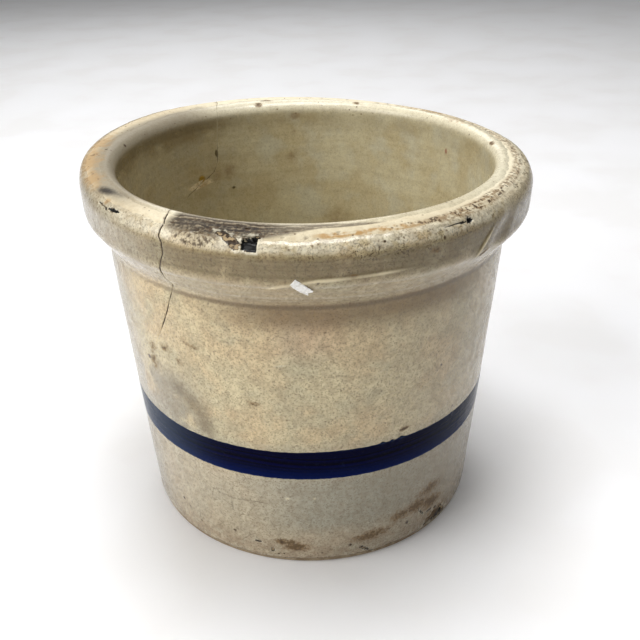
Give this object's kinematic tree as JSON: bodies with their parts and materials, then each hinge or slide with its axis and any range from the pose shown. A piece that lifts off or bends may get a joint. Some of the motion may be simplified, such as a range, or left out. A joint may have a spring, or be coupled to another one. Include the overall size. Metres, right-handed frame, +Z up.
{
  "type": "stoneware crock",
  "caption": "Open stoneware fermenting crock: slightly tapered wall, thick flat floor, heavy rolled collar round the mouth and a dark cobalt ring round the lower wall.",
  "frame": {"origin": "centre of the foot, on the surface the crock stands on", "axes": "+Z up along the crock's axis, -Y towards the side with the paper scrap, +X to the right seen from there"},
  "size_m": [0.2199, 0.22, 0.1845],
  "materials": {
    "bare_stoneware": "matte fired clay",
    "outer_glaze": "gloss, crazed and speckled oatmeal glaze",
    "inner_glaze": "gloss, olive-grey liner glaze",
    "cobalt_glaze": "gloss, dark cobalt",
    "white_paper": "matte, torn"
  },
  "bodies": {
    "root": {"stoneware_body": "bare_stoneware", "outer_glaze": "outer_glaze", "inner_glaze": "inner_glaze", "cobalt_band": "cobalt_glaze", "paper_scrap": "white_paper"}
  },
  "joints": []
}
